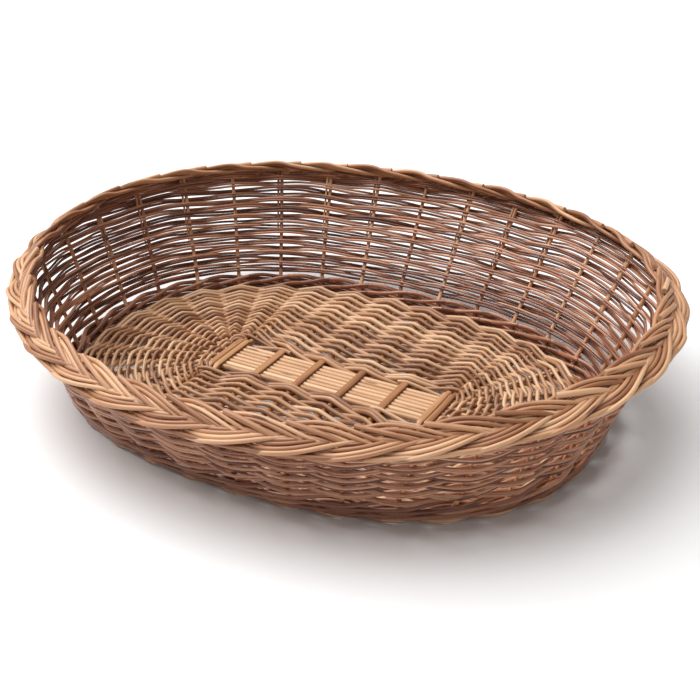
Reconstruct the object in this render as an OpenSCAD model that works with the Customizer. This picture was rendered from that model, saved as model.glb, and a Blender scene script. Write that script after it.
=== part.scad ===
// Oval woven willow bed basket for a dog or cat.
// Frame: origin on the floor under the middle of the rim, +X along the length,
// +Y to the back, +Z up. All sizes in millimetres.

/* [Foot and base] */
// Length of the foot oval, over the outside of the foot
foot_length = 581; // [520:1:640]
// Width of the foot oval, over the outside of the foot
foot_width = 422; // [380:1:470]
// Squareness of the foot oval, where 2 is an ellipse
foot_roundness = 2.32; // [2:0.02:2.6]
// Height of the foot ring that the basket stands on
foot_ring_h = 7; // [5:0.5:9]
// Diameter of the peeled lengthwise base sticks
long_stick_d = 6; // [4.5:0.5:7]
// Diameter of the cross sticks that stand alone
cross_stick_d = 6; // [5:0.5:7]
// Diameter of the cross sticks that stand in pairs
pair_stick_d = 5.5; // [4.5:0.5:6]
// Length of the woven part at each end of the base, from the end pair of cross sticks
end_room = 165.5; // [160:0.5:180]
// Diameter of the rods that weave the base
base_rod_d = 3.6; // [3:0.1:4]

/* [Wall] */
// Length of the rim oval, along the middle of the border
rim_length = 676; // [620:1:740]
// Width of the rim oval, along the middle of the border
rim_width = 554; // [500:1:600]
// Squareness of the rim oval, where 2 is an ellipse
rim_roundness = 2.08; // [2:0.02:2.4]
// How far the middle of the foot stands in front of the middle of the rim
foot_forward = 20; // [0:1:30]
// Mean height of the middle of the border above the floor
rim_height = 124; // [105:1:170]
// How much higher than the mean the rim is at both ends
rim_end_rise = 7; // [0:1:14]
// How much higher at the back and lower at the front the rim is
rim_back_rise = 12; // [0:1:20]
// Diameter of the side stakes
stake_d = 5; // [4:0.5:5.5]
// Diameter of the thin rods pushed down beside most stakes
bye_stake_d = 3.2; // [2.4:0.2:3.6]
// Thickness of the rods of a course
course_t = 3.4; // [2.8:0.2:3.6]
// Free space between one course, which is two rods worked as one, and the next
course_gap = 0.5; // [0.4:0.1:1.5]
// Height of each of the three thicker rods at the bottom of the wall
wale_h = 4.6; // [3.5:0.1:5]

/* [Border] */
// Width of the plaited border, across the rim
border_w = 36; // [32:1:44]
// Width of one strand of the plait
strand_w = 11.5; // [9:0.5:12]
// Thickness of one strand of the plait
strand_t = 5.4; // [4:0.2:6.5]
// Free space between two strands at the corners of the place where they cross
strand_clear = 0.48; // [0.4:0.02:1]
// Extra outward tilt of the border, beyond the slope of the wall
border_tilt = 8; // [0:1:20]

/* [Hidden] */

$fn = 32;

// free space left between pieces that pass each other
gap = 0.3;

// colours of the willow
peeled = [0.85, 0.71, 0.55];
tan_rod = [0.77, 0.61, 0.43];
olive = [0.59, 0.45, 0.27];
red_brown = [0.51, 0.33, 0.25];
border_tan = [0.78, 0.59, 0.43];

// eight long sticks and eight cross sticks have 32 ends, and each end has one stake
long_count = 8;
stake_count = 32;
long_ends = long_count / 2;
base_rows = 13;

foot_half = [foot_length / 2, foot_width / 2];
rim_half = [rim_length / 2, rim_width / 2];

// long sticks are thinner where they spread, so that they stay clear of each other
spread_thin = 0.76;
spread_stick_d = spread_thin * long_stick_d;

// a rod passes a stake or stick at this distance between centre lines
course_swing = stake_d / 2 + course_t / 2 + 0.6;
rod_swing = max(spread_stick_d, cross_stick_d, pair_stick_d) / 2 + base_rod_d / 2 + 1.2;

// the stakes stand inside the outer face of the foot by half the thickness of the wall
wall_t = 2 * course_swing + course_t;
stake_inset = wall_t / 2 + 1.8;
stick_end_inset = stake_inset + wall_t / 2 + gap;
stick_on_ring = 2.8;
foot_ring_w = stick_end_inset + stick_on_ring;

// the sticks lie on the foot ring
stick_z = foot_ring_h + long_stick_d / 2;
stake_z = foot_ring_h + gap;

// eye of a cross stick: the slot that the long sticks pass through
long_pitch = long_stick_d + 0.6;
slot_w = long_count * long_pitch + 0.6;
slot_h = long_stick_d + 2 * gap;
eye_d = slot_h + 5.4;
eye_end = 2.6;
eye_half = slot_w / 2 + eye_end;
eye_w = cross_stick_d + 2;
pair_eye_w = pair_stick_d + 1.5;
pair_pitch = pair_eye_w + 0.5;
pair_x = foot_length / 2 - end_room;
cross_pitch = pair_x / 2.5;
pair_inner_x = pair_x - pair_pitch / 2;
pair_outer_x = pair_x + pair_pitch / 2;

// where sticks begin to spread, and how far out along them the weave starts
side_root_y = eye_half + 1;
end_root_x = pair_outer_x + pair_eye_w / 2 + 3;
single_start = [8, 14];
pair_start = 28;
long_start = 30;
pair_of_rods = base_rod_d / 2 + gap;
last_row_inset = stick_on_ring + pair_of_rods + base_rod_d / 2 + gap;

// wale and courses, as distances up the slope of the wall
wale_pitch = wale_h + 0.4;

// the last course ends this many stakes each side of the middle of the back
courses = 18;
last_course_reach = 3;

// three strands, each going across the border and back this many times round the rim
border_turns = 11;
strand_steps = 10;
strand_across = (border_w - strand_w) / 2;

// Strands cross a third of a turn apart, and still lie over each other this many degrees away.
crossing_reach = 22.5;
strand_depth = (strand_t + strand_clear) / 2 / sin(60) / cos(2 * crossing_reach);
border_t = strand_t + 2 * strand_depth;
border_clear = border_t / 2 + 1.5;

table_steps = 360;

// ---- ovals, stepped evenly by length -------------------------------------------------

function oval(half, n, a) =
    let (c = cos(a), s = sin(a))
    let (r = pow(pow(abs(c) / half.x, n) + pow(abs(s) / half.y, n), -1 / n))
    [r * c, r * s];

// pairs of [length round the oval, direction], for lookup()
function length_table(half, n) =
    let (p = [for (k = [0 : table_steps]) oval(half, n, k * 360 / table_steps)])
    [
        for (k = 0, s = 0; k <= table_steps; s = s + norm(p[min(k + 1, table_steps)] - p[k]), k = k + 1)
            [s, k * 360 / table_steps]
    ];

foot_table = length_table(foot_half, foot_roundness);
rim_table = length_table(rim_half, rim_roundness);

// direction at a share of the way round, from +X anticlockwise
function even_angle(table, share) = lookup((share - floor(share)) * table[table_steps][0], table);

// stake number to share of the way round: stake 0 is half a spacing past +X
function share_of(stake) = (stake + 0.5) / stake_count;

function foot_point(stake, inset) =
    oval(foot_half - [inset, inset], foot_roundness, even_angle(foot_table, share_of(stake)))
    - [0, foot_forward];

function rim_point(stake) =
    let (p = oval(rim_half, rim_roundness, even_angle(rim_table, share_of(stake))))
    let (q = [p.x / rim_half.x, p.y / rim_half.y])
    [p.x, p.y, rim_height + rim_end_rise * (2 * q.x * q.x - 1) + rim_back_rise * q.y];

// ---- the wall: a straight slope from the foot to the rim at every stake ---------------

function wall_foot(stake) = let (p = foot_point(stake, stake_inset)) [p.x, p.y, stake_z];
function slope_length(stake) = norm(rim_point(stake) - wall_foot(stake));
function slope_dir(stake) = (rim_point(stake) - wall_foot(stake)) / slope_length(stake);

// horizontal direction along the wall, anticlockwise
function along_dir(stake) =
    let (d = rim_point(stake + 0.1) - rim_point(stake - 0.1))
    [d.x, d.y, 0] / norm([d.x, d.y]);

// outward direction square to the slope
function out_dir(stake) = let (n = cross(along_dir(stake), slope_dir(stake))) n / norm(n);

function wall_point(stake, up, out) = wall_foot(stake) + up * slope_dir(stake) + out * out_dir(stake);

// the wall leans most at the back, where the lowest wale rod still clears the foot ring
back_middle = stake_count / 4 - 0.5;
function lean(stake) = let (d = slope_dir(stake)) norm([d.x, d.y]) / d.z;
first_wale = wale_h / 2 + gap + wall_t / 2 * lean(back_middle);

// the courses and the row under the border share the slope of the back wall above the wale
course_bottom = first_wale + 2.5 * wale_pitch + 1;
back_lengths = [for (s = [back_middle - last_course_reach : 0.5 : back_middle]) slope_length(s)];
course_top = min(back_lengths) - border_clear;
course_pitch = (course_top - course_bottom) / (courses + 1);
course_h = course_pitch - course_gap;

// ---- swept solids --------------------------------------------------------------------

// rings: list of sections with the same number of points; closed joins last to first
module swept(rings, closed) {
    n = len(rings);
    m = len(rings[0]);
    points = [for (r = rings) for (p = r) p];
    spans = closed ? n : n - 1;
    sides = [
        for (i = [0 : spans - 1]) for (j = [0 : m - 1])
            let (a = i * m + j, b = i * m + (j + 1) % m)
            let (c = ((i + 1) % n) * m + (j + 1) % m, d = ((i + 1) % n) * m + j)
            each [[a, b, c], [a, c, d]]
    ];
    start_cap = [for (j = [1 : m - 2]) [0, j + 1, j]];
    end_cap = [for (j = [1 : m - 2]) [(n - 1) * m, (n - 1) * m + j, (n - 1) * m + j + 1]];
    polyhedron(points, closed ? sides : concat(sides, start_cap, end_cap), convexity = 10);
}

// four corners round a point, half sizes along two directions
function bar_section(p, u, hu, v, hv) =
    [p - hu * u - hv * v, p + hu * u - hv * v, p + hu * u + hv * v, p - hu * u + hv * v];

// eight points round a place: half width along a horizontal direction, half height along +Z
function stick_section(p, across, half_w, half_h) =
    [for (a = [22.5 : 45 : 337.5]) p + (across * half_w * cos(a) + [0, 0, half_h * sin(a)]) / cos(22.5)];

// straight round rod between two points
module rod(p, q, d) {
    v = q - p;
    translate(p)
        rotate([0, acos(v.z / norm(v)), atan2(v.y, v.x)])
            cylinder(d = d, h = norm(v));
}

// ---- base ----------------------------------------------------------------------------

// where the stick end at a stake begins to spread; stake_count / 4 stakes to a quarter
function quarter_place(stake) =
    let (k = stake % (stake_count / 2))
    k < stake_count / 4 ? k : stake_count / 2 - 1 - k;
function side_x(stake) = (stake < stake_count / 4 || stake >= stake_count * 3 / 4) ? 1 : -1;
function side_y(stake) = stake < stake_count / 2 ? 1 : -1;

function root_of(stake) =
    let (k = quarter_place(stake))
    let (x = k < long_ends ? end_root_x
        : k == long_ends ? pair_outer_x
        : k == long_ends + 1 ? pair_inner_x
        : (stake_count / 4 - k - 0.5) * cross_pitch)
    let (y = k < long_ends ? (k + 0.5) * long_pitch : side_root_y)
    [side_x(stake) * x, side_y(stake) * y - foot_forward, stick_z];

function stick_end(stake) = let (p = foot_point(stake, stick_end_inset)) [p.x, p.y, stick_z];

function weave_start(stake) =
    let (k = quarter_place(stake))
    k < long_ends ? long_start
        : k < long_ends + 2 ? pair_start
        : single_start[stake_count / 4 - 1 - k];

// a place on the stick end at a stake, for a row and a distance out from the row's middle
function row_point(stake, row, out, up) =
    let (a = root_of(stake), b = stick_end(stake))
    let (len = norm(b - a), d = (b - a) / norm(b - a))
    let (first = weave_start(stake), last = len - last_row_inset)
    a + d * (first + (last - first) * (row - 1) / (base_rows - 1) + out) + [0, 0, up];

// one of the two rods of a base row: over one stick, under the next
module base_rod(row, first_over, out) {
    r = base_rod_d / 2;
    swept([
        for (s = [0 : stake_count - 1])
            let (up = ((s + first_over) % 2 == 0 ? 1 : -1) * rod_swing)
            let (d = (stick_end(s) - root_of(s)) / norm(stick_end(s) - root_of(s)))
            bar_section(row_point(s, row, out, up), d, r, [0, 0, 1], r)
    ], true);
}

module base_row(row) {
    color(tan_rod) {
        base_rod(row, row % 2, pair_of_rods);
        base_rod(row, row % 2 + 1, -pair_of_rods);
    }
}

// horizontal direction square to a stick end, on the same side for all of a stick's sections
function across_end(stake, along) =
    let (d = stick_end(stake) - root_of(stake), n = cross(d, [0, 0, 1]) / norm(d))
    n * sign(n * cross(along, [0, 0, 1]) == 0 ? 1 : n * cross(along, [0, 0, 1]));

// section where a stick bends, square to the line that halves the bend
function bend_section(stake, along, d) =
    let (a = across_end(stake, along), b = cross(along, [0, 0, 1]), m = (a + b) / norm(a + b))
    stick_section(root_of(stake), m / (m * b), d / 2, d / 2);

function end_section(stake, along, d) =
    stick_section(stick_end(stake), across_end(stake, along), d / 2, d / 2);

// full section of a long stick beside an end pair of cross sticks
function pair_section(stake, d) =
    let (p = root_of(stake))
    stick_section([side_x(stake) * (pair_inner_x - pair_pitch), p.y, p.z], [0, -1, 0], d / 2, d / 2);

// i counts the long sticks from the front, each from its left end to its right end
module long_stick(i) {
    k = abs(i - (long_count - 1) / 2) - 0.5;
    right = i < long_count / 2 ? stake_count - 1 - k : k;
    left = i < long_count / 2 ? stake_count / 2 + k : stake_count / 2 - 1 - k;
    color(peeled)
        swept([
            end_section(left, [1, 0, 0], spread_stick_d), bend_section(left, [1, 0, 0], spread_stick_d),
            pair_section(left, long_stick_d), pair_section(right, long_stick_d),
            bend_section(right, [1, 0, 0], spread_stick_d), end_section(right, [1, 0, 0], spread_stick_d)
        ], false);
}

// stake is the one at the back end of the cross stick, which swells into an eye over the long sticks
module cross_stick(stake, d, eye_width) {
    front = stake_count - 1 - stake;
    x = root_of(stake).x;
    eye_y = slot_w / 2 + eye_end / 2;
    color(olive)
        difference() {
            swept([
                end_section(front, [0, 1, 0], d), bend_section(front, [0, 1, 0], d),
                stick_section([x, -eye_y - foot_forward, stick_z], [1, 0, 0], eye_width / 2, eye_d / 2),
                stick_section([x, eye_y - foot_forward, stick_z], [1, 0, 0], eye_width / 2, eye_d / 2),
                bend_section(stake, [0, 1, 0], d), end_section(stake, [0, 1, 0], d)
            ], false);
            translate([x, -foot_forward, stick_z]) cube([2 * eye_d, slot_w, slot_h], center = true);
        }
}

// ---- foot ----------------------------------------------------------------------------

module foot_ring() {
    color(border_tan)
        linear_extrude(foot_ring_h)
            difference() {
                polygon([for (k = [0 : 3 * stake_count - 1]) foot_point(k / 3, 0)]);
                polygon([for (k = [0 : 3 * stake_count - 1]) foot_point(k / 3, foot_ring_w)]);
            }
}

// thick rod round the bottom of the wall: outside two stakes, inside the third
module wale_rod(i) {
    color(red_brown)
        swept([
            for (s = [0 : stake_count - 1])
                let (out = ((s + i) % 3 == 0 ? -1 : 1) * course_swing)
                bar_section(wall_point(s, first_wale + (i - 1) * wale_pitch, out), slope_dir(s), wale_h / 2,
                    out_dir(s), course_t / 2)
        ], true);
}

// ---- wall ----------------------------------------------------------------------------

// a stake starts where the lowest corner of its end is just clear of the foot ring
module side_stakes() {
    color(border_tan)
        for (s = [0 : stake_count - 1])
            rod(wall_point(s, stake_d / 2 * lean(s), 0),
                wall_point(s, slope_length(s) - border_clear, 0), stake_d);
}

// a place beside a stake, on the straight line to the next stake at the same height
function beside_stake(stake, up) =
    let (a = wall_point(stake, up, 0), b = wall_point(stake + 1, up, 0))
    a + (b - a) / norm(b - a) * ((stake_d + bye_stake_d) / 2 + gap);

// a thin rod beside three stakes in four, in the upper half of the wall
module bye_stakes() {
    color(peeled)
        for (s = [0 : stake_count - 1])
            if (s % 4 != 0)
                rod(beside_stake(s, slope_length(s) / 2), beside_stake(s, slope_length(s) - border_clear),
                    bye_stake_d);
}

function course_up(i) = course_bottom + (i - 0.5) * course_pitch;
function course_fits(i, stake) =
    course_up(i) + course_pitch * 1.5 <= slope_length(stake) - border_clear + 0.01;

// how many stakes a course reaches without a break to each side of the middle of the back
function course_reach(i, n = 0) =
    n < stake_count / 2 && course_fits(i, stake_count / 4 + n) ? course_reach(i, n + 1) : n;

function course_stakes(i) =
    let (n = course_reach(i))
    [for (k = [-n : n - 1]) (k + stake_count * 5 / 4) % stake_count];

// a course runs outside one stake and inside the next; the upper ones stop short at the front
module course(i) {
    stakes = course_stakes(i);
    color(red_brown)
        swept([
            for (s = stakes)
                let (out = ((s + i) % 2 == 0 ? 1 : -1) * course_swing)
                bar_section(wall_point(s, course_up(i), out), slope_dir(s), course_h / 2,
                    out_dir(s), course_t / 2)
        ], len(stakes) == stake_count);
}

// the last row, all the way round just under the border
module rim_row() {
    color(red_brown)
        swept([
            for (s = [0 : stake_count - 1])
                let (out = (s % 2 == 0 ? 1 : -1) * course_swing)
                let (up = slope_length(s) - border_clear - course_pitch / 2)
                bar_section(wall_point(s, up, out), slope_dir(s), course_h / 2, out_dir(s), course_t / 2)
        ], true);
}

// ---- border --------------------------------------------------------------------------

// Six corners of a strand's section at a place round the rim, in stake spacings. Going
// anticlockwise, a strand is on top from either edge to the middle, so the chevrons point that way.
function strand_section(place, phase) =
    let (t = border_tilt, s = slope_dir(place), o = out_dir(place))
    let (thick = s * cos(t) + o * sin(t), wide = o * cos(t) - s * sin(t))
    let (turn = 360 * border_turns * place / stake_count + phase)
    let (p = rim_point(place) + wide * strand_across * sin(turn) - thick * strand_depth * sin(2 * turn))
    [for (a = [0 : 60 : 300]) p + wide * strand_w / 2 * cos(a) + thick * strand_t / 2 / cos(30) * sin(a)];

module border_strand(phase) {
    steps = border_turns * strand_steps;
    color(border_tan)
        swept([for (k = [0 : steps - 1]) strand_section(k * stake_count / steps, phase)], true);
}

// ---- nodes ---------------------------------------------------------------------------

foot_ring();
long_stick(0);  // long_stick_1
long_stick(1);  // long_stick_2
long_stick(2);  // long_stick_3
long_stick(3);  // long_stick_4
long_stick(4);  // long_stick_5
long_stick(5);  // long_stick_6
long_stick(6);  // long_stick_7
long_stick(7);  // long_stick_8
cross_stick(11, pair_stick_d, pair_eye_w);  // cross_pair_left_outer
cross_stick(10, pair_stick_d, pair_eye_w);  // cross_pair_left_inner
cross_stick(9, cross_stick_d, eye_w);  // cross_stick_1
cross_stick(8, cross_stick_d, eye_w);  // cross_stick_2
cross_stick(7, cross_stick_d, eye_w);  // cross_stick_3
cross_stick(6, cross_stick_d, eye_w);  // cross_stick_4
cross_stick(5, pair_stick_d, pair_eye_w);  // cross_pair_right_inner
cross_stick(4, pair_stick_d, pair_eye_w);  // cross_pair_right_outer
base_row(1);  // base_row_01
base_row(2);  // base_row_02
base_row(3);  // base_row_03
base_row(4);  // base_row_04
base_row(5);  // base_row_05
base_row(6);  // base_row_06
base_row(7);  // base_row_07
base_row(8);  // base_row_08
base_row(9);  // base_row_09
base_row(10);  // base_row_10
base_row(11);  // base_row_11
base_row(12);  // base_row_12
base_row(13);  // base_row_13
wale_rod(1);  // wale_rod_1
wale_rod(2);  // wale_rod_2
wale_rod(3);  // wale_rod_3
side_stakes();
bye_stakes();
course(1);  // course_01
course(2);  // course_02
course(3);  // course_03
course(4);  // course_04
course(5);  // course_05
course(6);  // course_06
course(7);  // course_07
course(8);  // course_08
course(9);  // course_09
course(10);  // course_10
course(11);  // course_11
course(12);  // course_12
course(13);  // course_13
course(14);  // course_14
course(15);  // course_15
course(16);  // course_16
course(17);  // course_17
course(18);  // course_18
rim_row();
border_strand(0);  // border_strand_a
border_strand(120);  // border_strand_b
border_strand(240);  // border_strand_c
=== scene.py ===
"""Oval woven willow bed basket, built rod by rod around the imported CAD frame. Metres, +Z up."""
import math
import bpy
import numpy as np
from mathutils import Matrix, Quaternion, Vector


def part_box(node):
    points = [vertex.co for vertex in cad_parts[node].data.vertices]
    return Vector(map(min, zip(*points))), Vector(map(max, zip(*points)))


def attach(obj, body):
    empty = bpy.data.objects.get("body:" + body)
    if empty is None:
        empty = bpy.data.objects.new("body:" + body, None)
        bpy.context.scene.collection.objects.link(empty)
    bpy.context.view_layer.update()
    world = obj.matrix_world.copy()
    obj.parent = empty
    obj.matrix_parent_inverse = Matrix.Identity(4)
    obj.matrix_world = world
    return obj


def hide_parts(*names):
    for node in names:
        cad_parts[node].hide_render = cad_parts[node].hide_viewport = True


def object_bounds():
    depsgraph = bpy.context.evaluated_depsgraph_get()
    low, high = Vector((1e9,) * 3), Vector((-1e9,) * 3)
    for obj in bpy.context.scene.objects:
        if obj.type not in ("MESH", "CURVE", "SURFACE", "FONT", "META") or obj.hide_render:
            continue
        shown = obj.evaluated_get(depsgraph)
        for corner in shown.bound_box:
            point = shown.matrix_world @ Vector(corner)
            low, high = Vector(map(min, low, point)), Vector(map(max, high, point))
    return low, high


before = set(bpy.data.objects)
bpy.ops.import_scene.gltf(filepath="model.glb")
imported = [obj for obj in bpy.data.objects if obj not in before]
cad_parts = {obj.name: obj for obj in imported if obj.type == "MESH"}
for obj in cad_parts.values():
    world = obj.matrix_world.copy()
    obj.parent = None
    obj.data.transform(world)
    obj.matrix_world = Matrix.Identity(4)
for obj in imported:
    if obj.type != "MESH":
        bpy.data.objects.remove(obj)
CAD_BOX = [list(map(float, corner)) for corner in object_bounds()]
random = np.random.default_rng(11)

# ---- driving sizes -------------------------------------------------------------------

STAKES = 32
HALF_ROUND, QUARTER = STAKES // 2, STAKES // 4
ROWS = 13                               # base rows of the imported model
COURSES = 18                            # wall courses at the back
TURNS = 11                              # periods of the plait round the rim
FOOT_ROUND, RIM_ROUND = 2.32, 2.08      # powers of the two ovals; 2 would be an ellipse
BORDER_REACH = 0.0153                   # the border stands this far past the line of the rim
BORDER_WIDTH = 0.036
BORDER_TILT = math.radians(8)
RIM_MEAN, RIM_END_RISE, RIM_BACK_RISE = 0.124, 0.007, 0.012

low, high = (np.array(corner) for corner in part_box("foot_ring"))
FOOT_HALF = (high - low)[:2] / 2
FOOT_MID = (high + low)[:2] / 2
FOOT_TOP = high[2]
RIM_HALF = np.array(CAD_BOX[1])[:2] - BORDER_REACH
low, high = (np.array(corner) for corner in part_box("long_stick_4"))
STICK_Z = (low[2] + high[2]) / 2
STICK_R = (high[2] - low[2]) / 2
STICK_PITCH = 2 * STICK_R + 0.0006
CROSS_PITCH = 0.050                     # between the cross sticks that stand alone
PAIR_X = 2.5 * CROSS_PITCH              # middle of the close pair of cross sticks
PAIR_PITCH = 0.0075
PAIR_R, SINGLE_R = 0.00275, 0.0030      # cross sticks in a pair, and those that stand alone
WALL_INSET = 0.0083                     # the stakes stand this far inside the outline of the foot
STICK_INSET = 0.0151                    # and the base sticks end this far inside it
STAKE_R = 0.0024
WEAVER_R = 0.00162
BASE_ROD_R = 0.0024
FOOT_ROD_R = 0.0023
WALE_R = 0.0024
DOWN, UP = np.array([0.0, 0.0, -1.0]), np.array([0.0, 0.0, 1.0])
ONCE_ROUND = (0.5, STAKES + 0.5)        # where a row that goes right round starts and ends
OVAL_SAMPLES = 2001
BASE_NOISE_COUNT, NOISE_COUNT = 4000, 3000      # samples of the noise of one rod once round


# ---- curves and noise ----------------------------------------------------------------

def unit(vectors):
    return vectors / np.linalg.norm(vectors, axis=-1, keepdims=True)


def ease(t):
    """From 0 to 1 with a soft start and a soft end."""
    return t * t * (3 - 2 * t)


def running_length(points):
    steps = np.linalg.norm(np.diff(points, axis=0), axis=1)
    return np.concatenate([[0], np.cumsum(steps)])


def peaked(angle, sharp=0.985):
    """Between a cosine and a zigzag, for rods pulled tight over sticks."""
    return np.arcsin(sharp * np.cos(angle)) / math.asin(sharp)


def wander(count, size, step):
    """Smooth seeded noise for a rod: count values that change over about step samples."""
    knots = random.normal(0, size, max(4, int(count / step) + 3))
    where = np.linspace(0, len(knots) - 1, count)
    first = np.clip(where.astype(int), 0, len(knots) - 2)
    t = ease(where - first)
    return knots[first] * (1 - t) + knots[first + 1] * t


def at_places(noise, places):
    """Read noise that runs once round the basket."""
    return noise[(np.mod(places, STAKES) / STAKES * (len(noise) - 1)).astype(int)]


# ---- ovals and the wall --------------------------------------------------------------

def oval(half, power, angle):
    c, s = np.cos(angle), np.sin(angle)
    radius = (np.abs(c / half[0]) ** power + np.abs(s / half[1]) ** power) ** (-1 / power)
    return np.stack([radius * c, radius * s], -1)


def even_angles(half, power):
    """A function from a share of the way round an oval to the direction of that place."""
    angles = np.linspace(0, 2 * np.pi, OVAL_SAMPLES)
    lengths = running_length(oval(half, power, angles))
    shares = lengths / lengths[-1]
    return lambda share: np.interp(np.mod(share, 1.0), shares, angles)


foot_angle = even_angles(FOOT_HALF, FOOT_ROUND)
rim_angle = even_angles(RIM_HALF, RIM_ROUND)


def share_of(place):
    """Places are in stake spacings, anticlockwise from above; stake 0 is half one past +X."""
    return (np.asarray(place, float) + 0.5) / STAKES


def foot_point(place, inset, z):
    """A point this far inside the outline of the foot, at height z."""
    flat = oval(FOOT_HALF - inset, FOOT_ROUND, foot_angle(share_of(place))) + FOOT_MID
    height = np.broadcast_to(np.asarray(z, float), flat.shape[:-1])
    return np.concatenate([flat, height[..., None]], -1)


def rim_point(place):
    """The middle line of the border, which rises to the ends and to the back."""
    flat = oval(RIM_HALF, RIM_ROUND, rim_angle(share_of(place)))
    share = flat / RIM_HALF
    z = RIM_MEAN + RIM_END_RISE * (2 * share[..., 0] ** 2 - 1) + RIM_BACK_RISE * share[..., 1]
    return np.concatenate([flat, z[..., None]], -1)


def wall_frame(place):
    """Foot point, slope length, up-slope, outward and along directions round the wall."""
    place = np.asarray(place, float)
    foot = foot_point(place, WALL_INSET, FOOT_TOP)
    top = rim_point(place)
    length = np.linalg.norm(top - foot, axis=-1)
    up = (top - foot) / length[..., None]
    along = rim_point(place + 0.1) - rim_point(place - 0.1)
    along[..., 2] = 0
    along = unit(along)
    out = unit(np.cross(along, up))
    return foot, length, up, out, along


def slope_length(place):
    return wall_frame(place)[1]


def outward(place):
    return wall_frame(place)[3]


def on_wall(place, climb, out):
    """A point on the wall: climb up the slope from the foot, out towards the outside."""
    foot, _, up, away, _ = wall_frame(place)
    climb, out = np.asarray(climb, float), np.asarray(out, float)
    return foot + up * climb[..., None] + away * out[..., None]


def border_frame(place):
    """Line of the rim and the directions across and through the plait."""
    _, _, up, out, _ = wall_frame(place)
    through = up * math.cos(BORDER_TILT) + out * math.sin(BORDER_TILT)
    across = out * math.cos(BORDER_TILT) - up * math.sin(BORDER_TILT)
    return rim_point(place), across, through


# ---- rods ----------------------------------------------------------------------------

GRAIN_SPAN = 40                         # each rod starts somewhere in this length of grain


class Rods:
    """Round willow rods gathered into one mesh, with their own coordinates for the material."""

    def __init__(self):
        self.points, self.faces, self.smooth = [], [], []
        self.local, self.tone, self.cut = [], [], []
        self.total = 0

    def add(self, path, radius, reference, tone=None, sides=10, flat=1.0):
        """A tube along path with cut ends; reference is a direction that fixes its roll."""
        path = np.asarray(path, float)
        count = len(path)
        radius = np.broadcast_to(np.asarray(radius, float), (count,))[:, None]
        flat = np.broadcast_to(np.asarray(flat, float), (count,))[:, None]
        reference = np.broadcast_to(np.asarray(reference, float), path.shape)
        tangent = unit(np.gradient(path, axis=0))
        side = unit(reference - (reference * tangent).sum(-1, keepdims=True) * tangent)
        other = np.cross(tangent, side)
        angle = np.arange(sides) * 2 * np.pi / sides
        start = random.uniform(0, GRAIN_SPAN)
        tone = random.uniform(0, 1) if tone is None else tone
        local = np.empty((count, sides, 3))
        local[..., 0] = np.cos(angle) * radius * flat
        local[..., 1] = np.sin(angle) * radius
        local[..., 2] = running_length(path)[:, None] + start
        verts = path[:, None] + side[:, None] * local[..., :1] + other[:, None] * local[..., 1:2]
        ring = np.arange(sides)
        base = np.arange(count - 1)[:, None] * sides
        a, b = base + ring, base + (ring + 1) % sides
        quads = np.stack([a, b, b + sides, a + sides], -1).reshape(-1, 4)
        self.push(verts.reshape(-1, 3), quads, local.reshape(-1, 3), tone, 0.0, True)
        for end in (0, count - 1):
            self.cap(verts[end], path[end], local[end], tone, end == 0)

    def cap(self, rim, middle, local, tone, at_start):
        """A fan of triangles over a cut end, each kept as a quad whose last corner repeats."""
        sides = len(rim)
        points = np.concatenate([rim, middle[None]])
        inner = np.concatenate([local, [[0, 0, local[0, 2]]]])
        ring = np.arange(sides)
        step = (ring + 1) % sides
        first, second = (step, ring) if at_start else (ring, step)
        centre = np.full(sides, sides)
        self.push(points, np.stack([first, second, centre, centre], -1), inner, tone, 1.0, False)

    def push(self, points, faces, local, tone, cut, smooth):
        self.points.append(points)
        self.faces.append(faces + self.total)
        self.smooth.append(np.full(len(faces), smooth))
        self.local.append(local)
        self.tone.append(np.full(len(points), tone))
        self.cut.append(np.full(len(points), cut))
        self.total += len(points)

    def piece(self, name, material, nodes=()):
        """Make the object, ride it on the body and let it stand for the CAD nodes."""
        points = np.concatenate(self.points).astype(np.float32)
        faces = np.concatenate(self.faces)
        triangle = faces[:, 2] == faces[:, 3]
        sizes = np.where(triangle, 3, 4)
        keep = np.ones(faces.shape, bool)
        keep[triangle, 3] = False
        corners = faces[keep].astype(np.int32)
        starts = np.concatenate([[0], np.cumsum(sizes)[:-1]]).astype(np.int32)
        mesh = bpy.data.meshes.new(name)
        mesh.vertices.add(len(points))
        mesh.vertices.foreach_set("co", points.ravel())
        mesh.loops.add(len(corners))
        mesh.loops.foreach_set("vertex_index", corners)
        mesh.polygons.add(len(faces))
        mesh.polygons.foreach_set("loop_start", starts)
        mesh.polygons.foreach_set("use_smooth", np.concatenate(self.smooth))
        mesh.update(calc_edges=True)
        mesh.validate()
        rod = mesh.attributes.new("rod", "FLOAT_VECTOR", "POINT")
        rod.data.foreach_set("vector", np.concatenate(self.local).astype(np.float32).ravel())
        for key, parts in (("tone", self.tone), ("cut", self.cut)):
            values = mesh.attributes.new(key, "FLOAT", "POINT")
            values.data.foreach_set("value", np.concatenate(parts).astype(np.float32))
        mesh.materials.append(material)
        thing = bpy.data.objects.new(name, mesh)
        bpy.context.scene.collection.objects.link(thing)
        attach(thing, "root")
        if nodes:
            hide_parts(*nodes)


# ---- willow --------------------------------------------------------------------------

def linear(red, green, blue):
    """Colour from 0-255 display values to the renderer's linear values."""
    shares = [value / 255 for value in (red, green, blue)]
    return tuple(v / 12.92 if v <= 0.04045 else ((v + 0.055) / 1.055) ** 2.4
                 for v in shares) + (1.0,)


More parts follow.
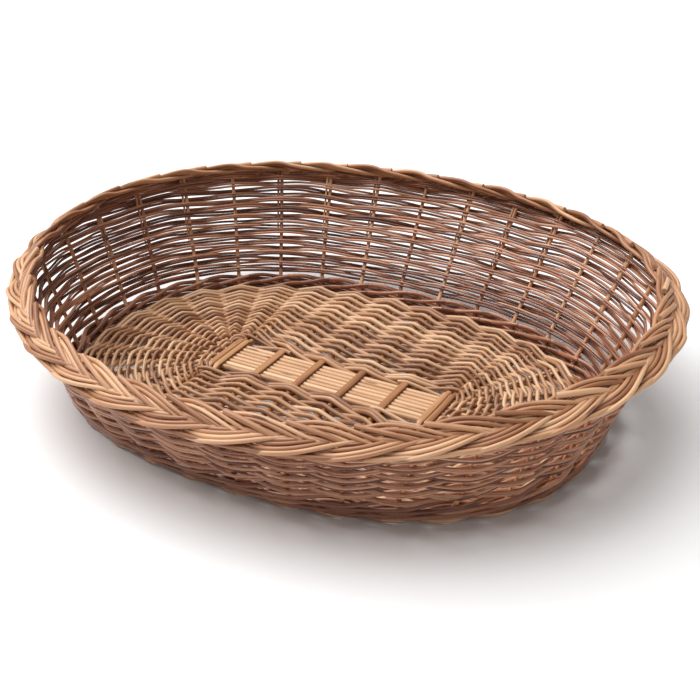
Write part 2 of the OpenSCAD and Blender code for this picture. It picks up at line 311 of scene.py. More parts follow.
class Nodes:
    """A short way to wire shader nodes. An input is named by its socket, or i0, i1, i2."""

    def __init__(self, material):
        material.use_nodes = True
        self.tree = material.node_tree
        self.tree.nodes.clear()

    def add(self, kind, settings=None, **inputs):
        node = self.tree.nodes.new("ShaderNode" + kind)
        for key, value in (settings or {}).items():
            setattr(node, key, value)
        for key, value in inputs.items():
            numbered = key[0] == "i" and key[1:].isdigit()
            self.set(node, int(key[1:]) if numbered else key.replace("_", " "), value)
        return node

    def set(self, node, socket, value):
        target = node.inputs[socket]
        if isinstance(value, bpy.types.NodeSocket):
            self.tree.links.new(value, target)
        else:
            target.default_value = value

    def attribute(self, name, output):
        return self.add("Attribute", {"attribute_name": name}).outputs[output]

    def scaled(self, vector, scale):
        return self.add("Mapping", None, Vector=vector, Scale=scale).outputs[0]

    def noise(self, vector, detail, roughness):
        return self.add("TexNoise", None, Vector=vector, Scale=1.0, Detail=detail,
                        Roughness=roughness).outputs["Fac"]

    def fade(self, value, full, none, most):
        """From most where value is at full, down to 0 where it is at none."""
        return self.add("MapRange", None, Value=value, From_Min=full, From_Max=none,
                        To_Min=most, To_Max=0.0).outputs[0]

    def math(self, operation, a, b=0.0, c=0.0, clamp=False):
        settings = {"operation": operation, "use_clamp": clamp}
        return self.add("Math", settings, i0=a, i1=b, i2=c).outputs[0]

    def ramp(self, value, stops):
        node = self.add("ValToRGB", None, i0=value)
        band = node.color_ramp
        while len(band.elements) < len(stops):
            band.elements.new(0.5)
        for element, (place, colour) in zip(band.elements, stops):
            element.position = place
            element.color = colour
        return node.outputs[0]

    def mix(self, amount, a, b):
        node = self.add("Mix", {"data_type": "RGBA", "blend_type": "MIX"})
        for socket, value in ((0, amount), (6, a), (7, b)):
            self.set(node, socket, value)
        return node.outputs[2]


# Scales of the patterns per metre: across a rod twice, then along it.
FIBRE_SCALE, BLOTCH_SCALE, BUD_SCALE = (900, 900, 22), (150, 150, 14), (120, 120, 16)
WOOD_PALE, WOOD_DARK, PITH = linear(226, 190, 150), linear(150, 108, 74), linear(110, 72, 48)
RINGS_PER_METRE = 9000.0                # of the growth rings in a cut end, in radians
BLOTCHES, STREAKS = 1.1, 0.5            # how much each changes the tone of the bark
CUT_ROUGHNESS = 0.75


def willow(name, *colours, gloss=0.42):
    """Willow rod: each rod its own tone, long streaks, blotches, buds, and pale cut ends.

    The colours are the dark, middle and light bark and the bud scars, in display values.
    """
    dark, middle, light, knot = (linear(*colour) for colour in colours)
    material = bpy.data.materials.new(name)
    n = Nodes(material)
    rod = n.attribute("rod", "Vector")
    tone, cut = n.attribute("tone", "Fac"), n.attribute("cut", "Fac")
    fibre = n.noise(n.scaled(rod, FIBRE_SCALE), 4.0, 0.6)
    blotch = n.noise(n.scaled(rod, BLOTCH_SCALE), 3.0, 0.55)
    shade = n.math("MULTIPLY_ADD", n.math("SUBTRACT", blotch, 0.5), BLOTCHES, tone)
    shade = n.math("MULTIPLY_ADD", n.math("SUBTRACT", fibre, 0.5), STREAKS, shade, clamp=True)
    bark = n.ramp(shade, [(0.0, dark), (0.5, middle), (1.0, light)])
    cell = n.add("TexVoronoi", {"feature": "F1"}, Vector=n.scaled(rod, BUD_SCALE), Scale=1.0,
                 Randomness=0.9).outputs["Distance"]
    bud = n.fade(cell, 0.10, 0.16, 1.0)
    bark = n.mix(n.math("MULTIPLY", bud, 0.75), bark, knot)
    x, y, _ = n.add("SeparateXYZ", None, Vector=rod).outputs
    radius = n.math("SQRT", n.math("ADD", n.math("POWER", x, 2.0), n.math("POWER", y, 2.0)))
    rings = n.math("SINE", n.math("MULTIPLY", radius, RINGS_PER_METRE))
    wood = n.mix(n.math("MULTIPLY_ADD", rings, 0.18, 0.35), WOOD_PALE, WOOD_DARK)
    wood = n.mix(n.fade(radius, 0.0003, 0.0007, 0.8), wood, PITH)
    colour = n.mix(cut, bark, wood)
    rough = n.math("MULTIPLY_ADD", fibre, 0.22, gloss - 0.11)
    rough = n.math("MAXIMUM", rough, n.math("MULTIPLY", cut, CUT_ROUGHNESS))
    height = n.math("ADD", n.math("MULTIPLY", fibre, 0.5), n.math("MULTIPLY", bud, 1.2))
    bump = n.add("Bump", None, Height=height, Strength=0.35, Distance=0.0004).outputs[0]
    shader = n.add("BsdfPrincipled", None, Base_Color=colour, Roughness=rough, Normal=bump)
    shader.inputs["Specular IOR Level"].default_value = 0.5
    n.tree.links.new(shader.outputs[0], n.add("OutputMaterial").inputs[0])
    return material


WALL = willow("steamed_willow", (92, 54, 40), (150, 97, 71), (200, 147, 116), (58, 34, 26),
              gloss=0.27)
BASE = willow("buff_willow", (128, 82, 54), (182, 134, 96), (214, 174, 136), (84, 52, 34))
PEELED = willow("peeled_willow", (164, 116, 78), (202, 156, 114), (224, 184, 142), (108, 72, 48))
OLIVE = willow("olive_willow", (118, 74, 46), (168, 116, 76), (196, 148, 104), (66, 42, 26))
BORDER = willow("border_willow", (146, 94, 62), (192, 140, 102), (220, 176, 136), (92, 56, 38))
STAKE = willow("stake_willow", (172, 114, 78), (206, 148, 106), (228, 180, 138), (104, 64, 44))


# ---- making one lane of a woven row out of finite rods -------------------------------

def rod_lengths(start, end, mean, joins):
    """Break a lane into rods that end where joins(place) says that an end is hidden."""
    breaks, place = [start], start + random.uniform(0.3, 1.0) * mean
    while place < end - 0.4 * mean:
        place = joins(place)
        breaks.append(place)
        place += random.uniform(0.8, 1.2) * mean
    breaks.append(end)
    return list(zip(breaks[:-1], breaks[1:]))


def lane(rods, path, start, end, radius, mean, joins, per_place=12, sides=8, overlap=0.16,
         taper=0.13, lift=1.0, closed=True, tip=1.0, thin=None, tones=(0.0, 1.0)):
    """Fill a lane from start to end with rods that overlap a little where they join.

    path(places) gives points and outward directions, and mean is the usual length of a rod.
    A rod is thicker at one end by taper, starts lifted off the rod under it by lift, and
    narrows to tip in its overlaps; thin(places) scales its radius.
    """
    for number, (a, b) in enumerate(rod_lengths(start, end, mean, joins)):
        first = a if not closed and number == 0 else a - overlap
        last = b if not closed and b == end else b + overlap
        count = max(8, int((last - first) * per_place))
        places = np.linspace(first, last, count)
        points, away = path(places)
        size = radius * random.uniform(0.93, 1.07)
        slope = taper if number % 2 else -taper
        radii = size * (1 + slope * np.linspace(-1, 1, count))
        ends = np.clip(np.minimum(places - first, last - places) / (1.5 * overlap), 0, 1)
        radii = radii * (tip + (1 - tip) * ends)
        if thin is not None:
            radii = radii * thin(places)
        near = np.clip(1 - (places - first) / (2.2 * overlap), 0, 1)
        points = points + away * (radii * 1.5 * lift * ease(near))[:, None]
        rods.add(points, radii, away, sides=sides, tone=random.uniform(*tones))


def join_every(step, offset):
    """Joins at the places that lie offset past a multiple of step."""
    return lambda place: offset + step * round((place - offset) / step)


# ---- base ----------------------------------------------------------------------------

END_ROOT_X = PAIR_X + PAIR_PITCH / 2 + 0.0065   # where the long sticks start to spread
SIDE_ROOT_Y = 0.0303                            # and where the cross sticks leave the slath
SINGLE_START, PAIR_START, LONG_START = (0.008, 0.014), 0.028, 0.030
LAST_ROW_INSET = 0.0070
USUAL_PITCH = 0.0108                    # between base rows, for rods of the usual thickness
ROW_TENSION = 0.42                      # how evenly a base row bends from stick to stick
ROW_NOISE_UP, ROW_NOISE_ASIDE = 0.00022, 0.00035
BEFORE_FIRST_PAIR, BEFORE_FIRST_SINGLE = 0.0075, 0.0060     # from row 1 in to row 0
AFTER_LAST = 0.0062                     # from row 13 out to row 14
FAN_SHARES, FAN_R = (0.12, 0.36), BASE_ROD_R * 0.9          # of the way to the first full row
RIGHT_FAN, LEFT_FAN = (-5.4, 4.4), (10.6, 20.4)             # from stick to stick
CORNER_X = (0.066, 0.137)
CORNER_RODS = ((0.0298, 0.0352, 1), (0.0342, 0.0428, -1))   # Y at both ends, first side
CORNER_SWING = 0.0050
TIP_LENGTH, TIP_SHARE = 0.012, 0.45     # the tips of the long sticks narrow to this share
SPREAD_R = 0.76 * STICK_R               # and the sticks are thinner where they spread
LONG_ENDS, CROSS_PAIR_ENDS = 4, 6       # in a quarter: ends 0-3 are long, 4-5 the close pair


def root_of(stake):
    """Where a stick starts to spread, how far out its first row is, and its end's number."""
    k = stake % HALF_ROUND
    k = k if k < QUARTER else HALF_ROUND - 1 - k
    side_x = 1 if stake < QUARTER or stake >= 3 * QUARTER else -1
    side_y = 1 if stake < HALF_ROUND else -1
    if k < LONG_ENDS:
        x, y, first = END_ROOT_X, (k + 0.5) * STICK_PITCH, LONG_START
    elif k < CROSS_PAIR_ENDS:
        x, y, first = PAIR_X + (4.5 - k) * PAIR_PITCH, SIDE_ROOT_Y, PAIR_START
    else:
        x, y, first = (7.5 - k) * CROSS_PITCH, SIDE_ROOT_Y, SINGLE_START[7 - k]
    return np.array([side_x * x, side_y * y + FOOT_MID[1], STICK_Z]), first, k


ROOTS, FIRSTS, KINDS = (np.array(column) for column in zip(*map(root_of, range(STAKES))))
ENDS = foot_point(np.arange(STAKES), STICK_INSET, STICK_Z)
ARM = unit(ENDS - ROOTS)
ARM_LENGTH = np.linalg.norm(ENDS - ROOTS, axis=-1)
PASS_R = np.where(KINDS < LONG_ENDS, SPREAD_R, np.where(KINDS < CROSS_PAIR_ENDS, PAIR_R, SINGLE_R))
LAST_ROW = ARM_LENGTH - LAST_ROW_INSET
ROW_PITCH = (LAST_ROW - FIRSTS) / (ROWS - 1)
THICKNESS = np.clip(ROW_PITCH / USUAL_PITCH, 0.88, 1.12)


def through_stations(stations, places):
    """Smooth closed curve through one station per stick, read at places."""
    places = np.asarray(places)
    cell = np.floor(places).astype(int)
    t = (places - cell)[:, None]
    p0, p1, p2, p3 = (stations[(cell + k) % STAKES] for k in (-1, 0, 1, 2))
    m1, m2 = ROW_TENSION * (p2 - p0), ROW_TENSION * (p3 - p1)
    return ((2 * t**3 - 3 * t**2 + 1) * p1 + (t**3 - 2 * t**2 + t) * m1
            + (-2 * t**3 + 3 * t**2) * p2 + (t**3 - t**2) * m2)


def thickness(places):
    """The rods of a base row are thicker where the rows are wider apart."""
    return through_stations(THICKNESS[:, None], places)[:, 0]


def base_row(row, name, nodes=()):
    """Row 1 to 13 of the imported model, or row 0 beside the slath or 14 at the stick ends."""
    rods = Rods()
    along = FIRSTS + (LAST_ROW - FIRSTS) * (row - 1) / (ROWS - 1)
    if row < 1:
        along = FIRSTS - np.where(KINDS < CROSS_PAIR_ENDS, BEFORE_FIRST_PAIR, BEFORE_FIRST_SINGLE)
    if row > ROWS:
        along = LAST_ROW + AFTER_LAST
    stations = ROOTS + ARM * along[:, None]
    swing = (PASS_R + BASE_ROD_R + 0.0002)[:, None]
    for rod in (0, 1):
        noise_z = wander(BASE_NOISE_COUNT, ROW_NOISE_UP, 40)
        noise_out = wander(BASE_NOISE_COUNT, ROW_NOISE_ASIDE, 40)

        def path(places):
            arm = unit(through_stations(ARM, places))
            reach = through_stations(swing, places)[:, 0]
            angle = np.pi * (places + row + rod)
            aside = BASE_ROD_R * 0.98 * thickness(places) * np.sin(angle)
            aside += at_places(noise_out, places)
            points = through_stations(stations, places) + arm * aside[:, None]
            points[:, 2] += reach * peaked(angle) + at_places(noise_z, places)
            return points, DOWN

        under = (row + rod + 1) % 2
        lane(rods, path, *ONCE_ROUND, BASE_ROD_R, 8, join_every(2, under), per_place=11,
             overlap=0.2, lift=0.42, thin=thickness)
    rods.piece(name, BASE, nodes)


def fan_fill(name, first, last):
    """Thin rods that fill the fan between the close cross sticks and the first full row."""
    rods = Rods()
    for number, share in enumerate(FAN_SHARES):
        stations = ROOTS + ARM * (FIRSTS * share)[:, None]
        for rod in (0, 1):
            def path(places):
                arm = unit(through_stations(ARM, places))
                angle = np.pi * (places / 2 + 0.25 + number + rod)
                points = through_stations(stations, places)
                points = points + arm * (BASE_ROD_R * np.sin(angle))[:, None]
                points[:, 2] += (SPREAD_R + FAN_R) * peaked(angle, 0.8)
                return points, DOWN

            lane(rods, path, first, last, FAN_R, mean=40, joins=join_every(1, 0), per_place=9,
                 closed=False)
    rods.piece(name, BASE)


def slath_corners():
    """Short rods that close the corners between the slath and the first full row."""
    rods = Rods()
    x, share = np.linspace(*CORNER_X, 26), np.linspace(0, 1, 26)
    wave = CORNER_SWING * peaked(np.pi * (x - 1.5 * CROSS_PITCH) / CROSS_PITCH)
    radii = BASE_ROD_R * np.linspace(0.95, 0.85, 26)
    for side_x in (1, -1):
        for side_y in (1, -1):
            for near, far, over in CORNER_RODS:
                y = FOOT_MID[1] + side_y * (near + (far - near) * share)
                rods.add(np.stack([side_x * x, y, STICK_Z + over * wave], -1), radii, DOWN, sides=8)
    rods.piece("willow_slath_corner_rods", BASE)


def stick_line(points, step=0.004):
    """Even samples along a bent line, with the bends eased."""
    points = np.asarray(points, float)
    lengths = running_length(points)
    places = np.linspace(0, lengths[-1], int(lengths[-1] / step) + 2)
    line = np.stack([np.interp(places, lengths, points[:, k]) for k in range(3)], -1)
    for _ in range(3):
        line[1:-1] = (line[:-2] + 2 * line[1:-1] + line[2:]) / 4
    return line, places


def long_stick(i):
    """One of the eight sticks of the slath, thinner where it spreads at both ends."""
    rods = Rods()
    k = int(abs(i - 3.5) - 0.5)
    right = STAKES - 1 - k if i < 4 else k
    left = HALF_ROUND + k if i < 4 else HALF_ROUND - 1 - k
    inner = PAIR_X - 1.5 * PAIR_PITCH
    line, places = stick_line([
        ENDS[left], ROOTS[left], [-inner, ROOTS[left][1], STICK_Z],
        [inner, ROOTS[right][1], STICK_Z], ROOTS[right], ENDS[right]])
    spread = np.clip((np.abs(line[:, 0]) - inner) / (END_ROOT_X - inner), 0, 1)
    radii = STICK_R * 0.99 + (SPREAD_R - STICK_R) * spread
    radii = radii * (1 + wander(len(line), 0.012, 12))
    tip = np.clip(np.minimum(places, places[-1] - places) / TIP_LENGTH, TIP_SHARE, 1)
    line[:, 1] += wander(len(line), 0.00012, 14)
    line[:, 2] += wander(len(line), 0.00015, 14)
    rods.add(line, radii * tip, UP, sides=14)
    rods.piece(f"willow_long_stick_{i + 1}", PEELED, [f"long_stick_{i + 1}"])


SPLIT_HALF = 0.038                      # half the length of the split part of a cross stick
SPLIT_OPEN, SPLIT_CLOSING = 0.0365, 0.0085      # its halves close over this length
SPLIT_T = 0.0015                        # half the thickness of a half rod
PAIR_SPLIT_W, SINGLE_SPLIT_W = 0.0036, 0.0042   # and half its width
CROSS_END_Y, CROSS_TIP_LENGTH = 0.0265, 0.010   # where a rounded end starts, and its tip


def cross_stick(name, stake, radius, half_width, bow):
    """A stick split over the long sticks: two rounded ends and two half rods round them."""
    rods = Rods()
    tone = random.uniform(0.2, 0.9)
    x, mid = ROOTS[stake][0], FOOT_MID[1]
    for end, side in ((STAKES - 1 - stake, -1), (stake, 1)):
        line, places = stick_line([ENDS[end], ROOTS[end], [x, mid + side * CROSS_END_Y, STICK_Z]])
        line[:, 0] += wander(len(line), 0.00025, 12)
        radii = radius * np.clip(places / CROSS_TIP_LENGTH, 0.5, 1)
        radii = radii * (1 + wander(len(line), 0.015, 10))
        inside = np.clip((SIDE_ROOT_Y - np.abs(line[:, 1] - mid)) / 0.004 + 1, 0, 1)
        rods.add(line, radii * (1 - 0.25 * inside), UP, tone=tone, sides=14)
    y = np.linspace(-SPLIT_HALF, SPLIT_HALF, 60)
    apart = ease(np.clip((SPLIT_OPEN - np.abs(y)) / SPLIT_CLOSING, 0, 1))
    width = radius + (half_width - radius) * apart
    for side in (1, -1):
        line = np.stack([x + bow * (1 - (y / SPLIT_HALF) ** 2), mid + y,
                         STICK_Z + side * (SPLIT_T * 0.9 + (STICK_R + 0.0001) * apart)], -1)
        rods.add(line, width, UP, tone=tone, sides=16, flat=SPLIT_T * (1.25 - 0.25 * apart) / width)
    rods.piece("willow_" + name, OLIVE, [name])


for i in range(8):
    long_stick(i)
cross_stick("cross_pair_left_outer", 11, PAIR_R, PAIR_SPLIT_W, -0.0008)
cross_stick("cross_pair_left_inner", 10, PAIR_R, PAIR_SPLIT_W, -0.0004)
cross_stick("cross_stick_1", 9, SINGLE_R, SINGLE_SPLIT_W, 0.0003)
cross_stick("cross_stick_2", 8, SINGLE_R, SINGLE_SPLIT_W, -0.0003)
cross_stick("cross_stick_3", 7, SINGLE_R, SINGLE_SPLIT_W, 0.0002)
cross_stick("cross_stick_4", 6, SINGLE_R, SINGLE_SPLIT_W, -0.0002)
cross_stick("cross_pair_right_inner", 5, PAIR_R, PAIR_SPLIT_W, 0.0004)
cross_stick("cross_pair_right_outer", 4, PAIR_R, PAIR_SPLIT_W, 0.0008)
for row in range(1, ROWS + 1):
    base_row(row, f"willow_base_row_{row:02d}", [f"base_row_{row:02d}"])
base_row(0, "willow_base_first_row")
base_row(ROWS + 1, "willow_base_last_row")
fan_fill("willow_fan_fill_right", *RIGHT_FAN)
fan_fill("willow_fan_fill_left", *LEFT_FAN)
slath_corners()


# ---- foot, wale and stakes -----------------------------------------------------------

FOOT_INSET, FOOT_SWING = 0.0090, 0.0059
WALE_SWING, WALE_RISE = 0.0049, 0.0044
LOW_WALE_CLIMB, WALE_CLIMB = 0.0044, 0.0132
WALE_TURN = 0.6                         # stake spacings from behind a stake to the outside
STAKE_HIDDEN, STAKE_PAST = 0.030, 0.002 # a stake starts and bends this far from its stick's end
STAKE_ASIDE, STAKE_DROP = STICK_R + 0.0016, 0.0006      # beside the stick and below it
BEND_TOP, STAKE_TOP_GAP = 0.006, 0.003  # where its straight part starts and ends on the wall
BYE_START, BYE_TOP_GAP = 0.46, 0.004    # the same for the thin rods; a share of the slope
BYE_ASIDE, BYE_RADII = STAKE_R + 0.0018, (0.0008, 0.0016)
BORDER_CLEAR = 0.0090                   # courses stay this far below the line of the rim
COURSE_BOTTOM = 0.02114
BACK_MIDDLE = QUARTER - 0.5
STAKE_SLOPE = slope_length(np.arange(STAKES))
COURSE_TOP = float(slope_length(np.array([BACK_MIDDLE - 3]))[0]) - BORDER_CLEAR
COURSE_PITCH = (COURSE_TOP - COURSE_BOTTOM) / (COURSES + 1)
RIM_SPACING = 0.0575                    # between stakes at the rim


def foot_pair():
    """Two rods twisted round the bent ends of the stakes, which the basket stands on."""
    rods = Rods()
    for rod in (0, 1):
        def path(places):
            angle = np.pi * (places + rod)
            insets = FOOT_INSET - FOOT_SWING * np.cos(angle)
            z = FOOT_ROD_R * 2.15 + FOOT_ROD_R * np.sin(angle)
            return np.array([foot_point(*one) for one in zip(places, insets, z)]), UP

        lane(rods, path, *ONCE_ROUND, FOOT_ROD_R, 4, join_every(2, rod), sides=12,
             overlap=0.25, taper=0.06, lift=0.4)
    rods.piece("willow_foot_rows", BORDER, ["foot_ring"])


def wale_rod(i, middle, name, nodes=()):
    """In front of two stakes and behind the third, climbing over the others in front."""
    rods = Rods()

    def path(places):
        q = np.mod(places + i, 3.0)     # 0 behind a stake, 1 and 2 in front of the next two
        out = -WALE_SWING * np.cos(np.pi * np.minimum(np.minimum(q, 3 - q), 1))
        climbing = (q - 1.5) / (1.5 - WALE_TURN)
        leaving = -np.sin(np.pi / 2 * q / WALE_TURN)
        arriving = np.sin(np.pi / 2 * (3 - q) / WALE_TURN)
        ramp = np.where(q < WALE_TURN, leaving, np.where(q > 3 - WALE_TURN, arriving, climbing))
        return on_wall(places, middle + WALE_RISE * ramp, out), -outward(places)

    inside = (-i) % 3
    lane(rods, path, inside, inside + STAKES, WALE_R, 3, join_every(3, inside), sides=12,
         overlap=0.22, taper=0.07, lift=0.6, tip=0.8, tones=(0.25, 0.7))
    rods.piece(name, WALL, nodes)


def stakes_piece():
    """Rods that lie beside the stick ends, bend up at the foot and rise to the rim."""
    rods = Rods()
    for s in range(STAKES):
        aside = np.cross(ARM[s], UP) * STAKE_ASIDE
        hidden = ENDS[s] - ARM[s] * STAKE_HIDDEN + aside
        near = ENDS[s] + ARM[s] * STAKE_PAST + aside * 0.5
        near[2] = hidden[2] = STICK_Z - STAKE_DROP
        climbs = np.linspace(BEND_TOP, STAKE_SLOPE[s] - STAKE_TOP_GAP, 26)
        wall = on_wall(np.full(26, float(s)), climbs, wander(26, 0.0003, 6))
        corner = on_wall(float(s), 0.0005, 0.0)
        t = np.linspace(0, 1, 10)[:, None]
        bend = (1 - t) ** 2 * near + 2 * t * (1 - t) * corner + t**2 * wall[0]
        line = np.concatenate([np.linspace(hidden, near, 8)[:-1], bend[:-1], wall])
        across = wall_frame(float(s))[4]
        line += across * wander(len(line), 0.0003, 7)[:, None]
        radii = np.linspace(STAKE_R * 1.04, STAKE_R * 0.86, len(line))
        radii[:6] *= np.linspace(0.5, 1, 6)
        rods.add(line, radii, np.cross(np.gradient(line, axis=0), across))
    rods.piece("willow_side_stakes", STAKE, ["side_stakes"])


def bye_stakes_piece():
    """Thin rods pushed down from the border beside three stakes in every four."""
    rods = Rods()
    for s in range(STAKES):
        if s % 4 == 0:
            continue
        climbs = np.linspace(STAKE_SLOPE[s] * BYE_START, STAKE_SLOPE[s] - BYE_TOP_GAP, 18)
        place = s + BYE_ASIDE / RIM_SPACING
        line = on_wall(np.full(18, place), climbs, wander(18, 0.0003, 6))
        rods.add(line, np.linspace(*BYE_RADII, 18), outward(float(s)), sides=8)
    rods.piece("willow_bye_stakes", PEELED, ["bye_stakes"])


# ---- wall ----------------------------------------------------------------------------

COURSE_TAIL = 0.55                      # a course runs on this far past its last stake
THIN_RIGHT, THIN_LEFT, THICK_FRONT = 0.20, 0.08, 0.12
WEAVER_NOISE_UP, WEAVER_NOISE_OUT, WEAVER_NOISE_STEP = 0.00032, 0.00025, 45


def weaver_size(places):
    """Thinner weavers round the ends, most of all at +X, and thicker ones at the front."""
    x, y, _ = rim_point(places).T / np.append(RIM_HALF, 1.0)[:, None]
    ends = np.clip(np.abs(x) * 1.6 - 0.6, 0, 1)
    return 1 - np.where(x > 0, THIN_RIGHT, THIN_LEFT) * ends + THICK_FRONT * np.clip(-y, 0, 1)


def row_of_two(name, nodes, climb_of, first_out, ends=ONCE_ROUND, closed=True):
    """Two rods worked as one: outside one stake and inside the next."""
    rods = Rods()
    swing = STAKE_R + WEAVER_R + 0.0001
    for which in (-1, 1):
        noise_up = wander(NOISE_COUNT, WEAVER_NOISE_UP, WEAVER_NOISE_STEP)
        noise_out = wander(NOISE_COUNT, WEAVER_NOISE_OUT, WEAVER_NOISE_STEP)

        def path(places):
            wave = peaked(np.pi * (places + first_out), 0.82)
            climb = climb_of(places) + which * WEAVER_R * weaver_size(places) - 0.0003 * wave
            climb += at_places(noise_up, places)
            out = swing * wave + at_places(noise_out, places)
            return on_wall(places, climb, out), outward(places)

        lane(rods, path, *ends, WEAVER_R, 10, join_every(2, first_out % 2), per_place=11,
             overlap=0.2, lift=0.6, closed=closed, tip=0.55, thin=weaver_size)
    rods.piece(name, WALL, nodes)


def course_reach(i):
    """How many stakes to each side of the middle of the back a course reaches."""
    top = COURSE_BOTTOM + (i + 1) * COURSE_PITCH + BORDER_CLEAR - 1e-5
    reach = 0
    while reach < HALF_ROUND and top <= STAKE_SLOPE[QUARTER + reach]:
        reach += 1
    return reach


REACH = [course_reach(i) for i in range(1, COURSES + 1)]


def rows_at(places):
    """How many courses there are at a place, changing smoothly where one ends."""
    away = np.abs(np.mod(places - BACK_MIDDLE + HALF_ROUND, STAKES) - HALF_ROUND)
    rows = np.zeros(len(places))
    for reach in REACH:
        rows += 1 if reach == HALF_ROUND else ease(np.clip((reach + 0.15 - away) / 1.2, 0, 1))
    return rows


def below_rim(places, depth):
    return slope_length(places) - BORDER_CLEAR - depth


def course(i):
    """The courses share the height between the wale and the row under the border."""
    reach = REACH[i - 1]

    def climb(places):
        room = below_rim(places, COURSE_PITCH) - COURSE_BOTTOM
        return COURSE_BOTTOM + (i - 0.5) * room / rows_at(places)

    name, nodes = f"willow_course_{i:02d}", [f"course_{i:02d}"]
    if reach == HALF_ROUND:
        row_of_two(name, nodes, climb, i)
    else:
        ends = (QUARTER - reach - COURSE_TAIL, QUARTER + reach - 1 + COURSE_TAIL)
        row_of_two(name, nodes, climb, i, ends, closed=False)


foot_pair()
for i in (1, 2, 3):
    wale_rod(i, WALE_CLIMB, f"willow_wale_rod_{i}", [f"wale_rod_{i}"])
    wale_rod(i + 1, LOW_WALE_CLIMB, f"willow_low_wale_rod_{i}")
stakes_piece()
bye_stakes_piece()
for i in range(1, COURSES + 1):
    course(i)
row_of_two("willow_rim_row", ["rim_row"], lambda places: below_rim(places, COURSE_PITCH / 2), 0)
row_of_two("willow_row_in_border", [], lambda places: below_rim(places, -COURSE_PITCH * 0.42), 1)


# ---- border --------------------------------------------------------------------------

LANE_PITCH = 0.0044                     # between the rods of a strand
PLAIT_R = 0.00215
SWAY = BORDER_WIDTH / 2 - 1.5 * LANE_PITCH - PLAIT_R
EDGE = BORDER_WIDTH / 2 - PLAIT_R
DEPTH = 0.0036                          # how far a strand lies above or below the others
PERIOD = STAKES / TURNS                 # of the plait, in stake spacings
JOIN_ANGLE = math.radians(38)           # the turn at which the rods of a strand are hidden
STEEPNESS = 2.6                         # how soon a strand dives and rises at a crossing
BORDER_NOISE_SIDE, BORDER_NOISE_DEEP, BORDER_NOISE_STEP = 0.0003, 0.0004, 50
EDGE_RODS = ((0.0146, -0.0012), (0.0132, -0.0042))      # across and through the plait
BUTT_FROM, BUTT_TO = -0.0132, 0.0036    # a thick rod end lies from here to here across it
BUTT_TOP, BUTT_BACK_DROP, BUTT_DIP = 0.0038, 0.0022, 0.0075
BUTT_RADII = (0.0024, 0.0030)


def plait_point(places, phase, offset):
    """A rod of a strand: offset is its place across the strand."""
    line, across, through = border_frame(places)
    along = unit(rim_point(places + 0.05) - rim_point(places - 0.05))
    spacing = np.linalg.norm(rim_point(places + 0.5) - rim_point(places - 0.5), axis=-1)
    turn = 2 * np.pi * places / PERIOD + phase
    slope = np.arctan2(SWAY * np.cos(turn) * 2 * np.pi / PERIOD, spacing)
    wide = SWAY * np.sin(turn) + offset * np.cos(slope)
    deep = DEPTH * np.tanh(-STEEPNESS * wide / EDGE * np.cos(turn))
    back = offset * np.sin(slope)
    return line + across * wide[:, None] + through * deep[:, None] - along * back[:, None]


def border_strand(letter, phase):
    """One strand of the plait, of four rods side by side."""
    rods = Rods()
    for number in range(4):
        offset = (number - 1.5) * LANE_PITCH
        noise_side = wander(NOISE_COUNT, BORDER_NOISE_SIDE, BORDER_NOISE_STEP)
        noise_deep = wander(NOISE_COUNT, BORDER_NOISE_DEEP, BORDER_NOISE_STEP)

        def path(places):
            _, across, through = border_frame(places)
            points = plait_point(places, phase, offset)
            points += across * at_places(noise_side, places)[:, None]
            return points + through * at_places(noise_deep, places)[:, None], -through

        hidden = (JOIN_ANGLE - phase) / (2 * math.pi) * PERIOD
        lane(rods, path, *ONCE_ROUND, PLAIT_R, 2 * PERIOD, join_every(PERIOD, hidden),
             per_place=20, sides=10, overlap=0.12, taper=0.08, lift=0.5)
    name, node = f"willow_border_strand_{letter}", f"border_strand_{letter}"
    rods.piece(name, BORDER, [node])


def border_edge():
    """Rods along the outer edge of the plait, under the strands, that close its outline."""
    rods = Rods()
    for wide, deep in EDGE_RODS:
        noise_side = wander(NOISE_COUNT, BORDER_NOISE_SIDE, BORDER_NOISE_STEP)

        def path(places):
            line, across, through = border_frame(places)
            side = wide + at_places(noise_side, places)
            return line + across * side[:, None] + through * deep, -through

        lane(rods, path, *ONCE_ROUND, PLAIT_R, 5, join_every(1, 0.2), sides=10,
             overlap=0.15, taper=0.08, lift=0.3)
    rods.piece("willow_border_edge_rods", BORDER)


def border_butts():
    """Thick ends pushed into the inner side of the plait, one in each chevron."""
    rods = Rods()
    count = 3 * TURNS
    share = np.linspace(0, 1, 26)
    wide = BUTT_FROM + (BUTT_TO - BUTT_FROM) * share**1.15
    dip = BUTT_DIP * np.clip((share - 0.55) / 0.45, 0, 1) ** 1.6
    for j in range(count):
        dive = (j - 0.40 + random.uniform(-0.04, 0.04)) * STAKES / count
        line, across, through = border_frame(dive + np.linspace(-0.62, 0.36, 26))
        at_back = float(np.clip(line[:, 1].mean() / RIM_HALF[1], 0, 1))
        deep = BUTT_TOP - BUTT_BACK_DROP * at_back + 0.0006 * np.sin(share * 3) - dip
        radii = random.uniform(*BUTT_RADII) * np.linspace(1, 0.86, 26)
        path = line + across * wide[:, None] + through * deep[:, None]
        rods.add(path, radii, through, sides=14)
    rods.piece("willow_border_butts", BORDER)


for letter, degrees in (("a", 0), ("b", 120), ("c", 240)):
    border_strand(letter, math.radians(degrees))
border_edge()
border_butts()


# ---- floor, light and camera ---------------------------------------------------------

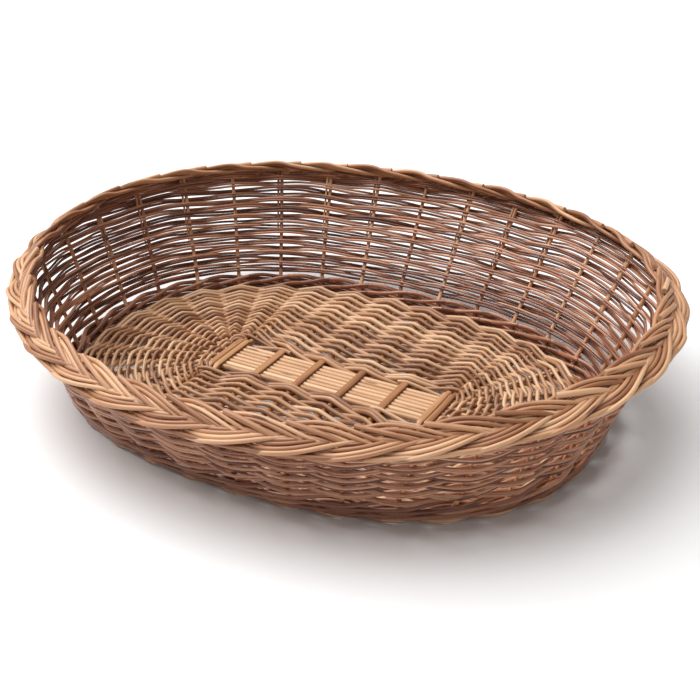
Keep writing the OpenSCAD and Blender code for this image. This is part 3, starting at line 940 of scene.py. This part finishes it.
FLOOR_SIZE, FLOOR_COLOUR, FLOOR_ROUGHNESS = 30, (0.86, 0.86, 0.86, 1), 0.8
WORLD_STRENGTH = 0.29
SIDE_LIGHT_AT, SIDE_LIGHT_SIZE, SIDE_LIGHT_POWER = Vector((-1.1, 0.3, 1.3)), 0.9, 7
SIDE_LIGHT_AIM = Vector((0, 0, 0.05))
SUN_TOWARDS, SUN_STRENGTH, SUN_SPREAD = Vector((-0.42, -0.05, 1.0)), 3.4, math.radians(62)
AZIMUTH, ELEVATION, ROLL = math.radians(29.35), math.radians(28.35), math.radians(-0.6)
DISTANCE, LENS_MM, SENSOR_MM = 1.323, 66.15, 36
TARGET = Vector((0.0233, -0.0160, 0.0525))


def add_thing(name, data, turn, place=(0, 0, 0)):
    thing = bpy.data.objects.new(name, data)
    thing.location = place
    thing.rotation_euler = turn.to_euler()
    bpy.context.scene.collection.objects.link(thing)
    return thing


bpy.ops.mesh.primitive_plane_add(size=FLOOR_SIZE, location=(0, 0, 0))
floor = bpy.context.object
floor.name = "floor"
paint = bpy.data.materials.new("floor_white")
paint.use_nodes = True
paint.node_tree.nodes["Principled BSDF"].inputs["Base Color"].default_value = FLOOR_COLOUR
paint.node_tree.nodes["Principled BSDF"].inputs["Roughness"].default_value = FLOOR_ROUGHNESS
floor.data.materials.append(paint)

world = bpy.data.worlds.new("studio")
world.use_nodes = True
world.node_tree.nodes["Background"].inputs["Color"].default_value = (1, 1, 1, 1)
world.node_tree.nodes["Background"].inputs["Strength"].default_value = WORLD_STRENGTH
bpy.context.scene.world = world

side_light = bpy.data.lights.new("left_light", "AREA")
side_light.shape = "DISK"
side_light.size = SIDE_LIGHT_SIZE
side_light.energy = SIDE_LIGHT_POWER
add_thing("left_light", side_light, (SIDE_LIGHT_AIM - SIDE_LIGHT_AT).to_track_quat("-Z", "Y"),
          SIDE_LIGHT_AT)
sun = bpy.data.lights.new("overhead_light", "SUN")
sun.energy = SUN_STRENGTH
sun.angle = SUN_SPREAD
add_thing("overhead_light", sun, SUN_TOWARDS.to_track_quat("Z", "Y"))

away = Vector((math.sin(AZIMUTH) * math.cos(ELEVATION),
               -math.cos(AZIMUTH) * math.cos(ELEVATION), math.sin(ELEVATION)))
lens = bpy.data.cameras.new("camera")
lens.lens = LENS_MM
lens.sensor_width = SENSOR_MM
turn = (-away).to_track_quat("-Z", "Y") @ Quaternion((0, 0, 1), ROLL)
bpy.context.scene.camera = add_thing("camera", lens, turn, TARGET + away * DISTANCE)
bpy.context.scene.view_settings.view_transform = "Standard"
